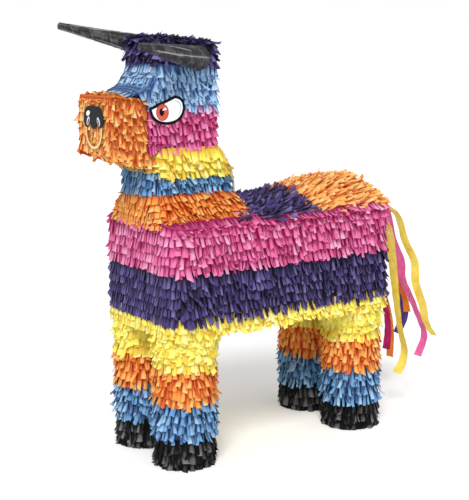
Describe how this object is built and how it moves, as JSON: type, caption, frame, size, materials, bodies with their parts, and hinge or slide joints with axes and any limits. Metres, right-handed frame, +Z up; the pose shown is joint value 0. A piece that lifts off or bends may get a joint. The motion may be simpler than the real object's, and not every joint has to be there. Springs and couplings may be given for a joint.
{
  "type": "pinata",
  "caption": "Bull-shaped paper pinata: a hollow card body on tube legs, with a boxy head, paper horns, a fill flap, a hanging loop and a swinging streamer tail.",
  "frame": {"origin": "on the floor under the middle of the four feet", "axes": "+Z up, the bull faces -Y, its left flank is on +X"},
  "size_m": [0.208, 0.5494, 0.5283],
  "materials": {
    "card": "brown corrugated card",
    "pink_tissue": "cut tissue fringe",
    "purple_tissue": "cut tissue fringe",
    "yellow_tissue": "cut tissue fringe",
    "orange_tissue": "cut tissue fringe",
    "blue_tissue": "cut tissue fringe",
    "black_tissue": "cut tissue fringe",
    "black_crepe": "wrapped crepe paper",
    "printed_card": "smooth printed sticker",
    "white_cord": "twisted cotton cord",
    "pink_crepe": "crepe streamer",
    "magenta_crepe": "crepe streamer",
    "yellow_crepe": "crepe streamer",
    "orange_crepe": "crepe streamer",
    "purple_crepe": "crepe streamer"
  },
  "bodies": {
    "carcass": {"back_panel": "card", "belly_panel": "card", "brow_blue_fringe": "blue_tissue", "cheek_pink_fringe": "pink_tissue", "chest_panel": "card", "collar_yellow_fringe": "yellow_tissue", "crown_purple_fringe": "purple_tissue", "foot_black_fringe_front_left": "black_tissue", "foot_black_fringe_front_right": "black_tissue", "foot_black_fringe_rear_left": "black_tissue", "foot_black_fringe_rear_right": "black_tissue", "foot_caps": "card", "head_shell": "card", "knee_orange_fringe_front_left": "orange_tissue", "knee_orange_fringe_front_right": "orange_tissue", "knee_orange_fringe_rear_left": "orange_tissue", "knee_orange_fringe_rear_right": "orange_tissue", "left_eye": "printed_card", "left_flank_panel": "card", "left_horn_cone": "card", "left_horn_cover": "black_crepe", "leg_tube_front_left": "card", "leg_tube_front_right": "card", "leg_tube_rear_left": "card", "leg_tube_rear_right": "card", "loop_knots": "white_cord", "neck_blue_fringe": "blue_tissue", "neck_orange_fringe": "orange_tissue", "neck_tube": "card", "nose_sticker": "printed_card", "pink_body_fringe": "pink_tissue", "purple_body_fringe": "purple_tissue", "right_eye": "printed_card", "right_flank_panel": "card", "right_horn_cone": "card", "right_horn_cover": "black_crepe", "rump_fringe": "orange_tissue", "rump_panel": "card", "saddle_fringe": "purple_tissue", "shin_blue_fringe_front_left": "blue_tissue", "shin_blue_fringe_front_right": "blue_tissue", "shin_blue_fringe_rear_left": "blue_tissue", "shin_blue_fringe_rear_right": "blue_tissue", "snout_orange_fringe": "orange_tissue", "snout_shell": "card", "thigh_yellow_fringe_front_left": "yellow_tissue", "thigh_yellow_fringe_front_right": "yellow_tissue", "thigh_yellow_fringe_rear_left": "yellow_tissue", "thigh_yellow_fringe_rear_right": "yellow_tissue", "yellow_belly_fringe": "yellow_tissue"},
    "fill_flap": {"fill_flap": "card", "fill_flap_fringe": "purple_tissue"},
    "hanging_loop": {"hanging_loop": "white_cord"},
    "tail": {"streamer_magenta": "magenta_crepe", "streamer_pink_long": "pink_crepe", "streamer_purple": "purple_crepe", "streamer_yellow_long": "yellow_crepe", "streamer_yellow_short": "yellow_crepe", "streamers_orange": "orange_crepe", "tail_strip": "card"}
  },
  "joints": [
    {"name": "fill_flap_hinge", "type": "hinge", "parent": "carcass", "child": "fill_flap", "pos_m": [-0.0825, 0, 0.232], "axis": [0, 1, 0], "range_deg": [0, 90]},
    {"name": "hanging_loop_swing", "type": "hinge", "parent": "carcass", "child": "hanging_loop", "pos_m": [0, -0.044, 0.3116], "axis": [-1, 0, 0], "range_deg": [0, 88]},
    {"name": "tail_swing", "type": "hinge", "parent": "carcass", "child": "tail", "pos_m": [0, 0.1718, 0.2912], "axis": [1, 0, 0], "range_deg": [0, 50]}
  ]
}
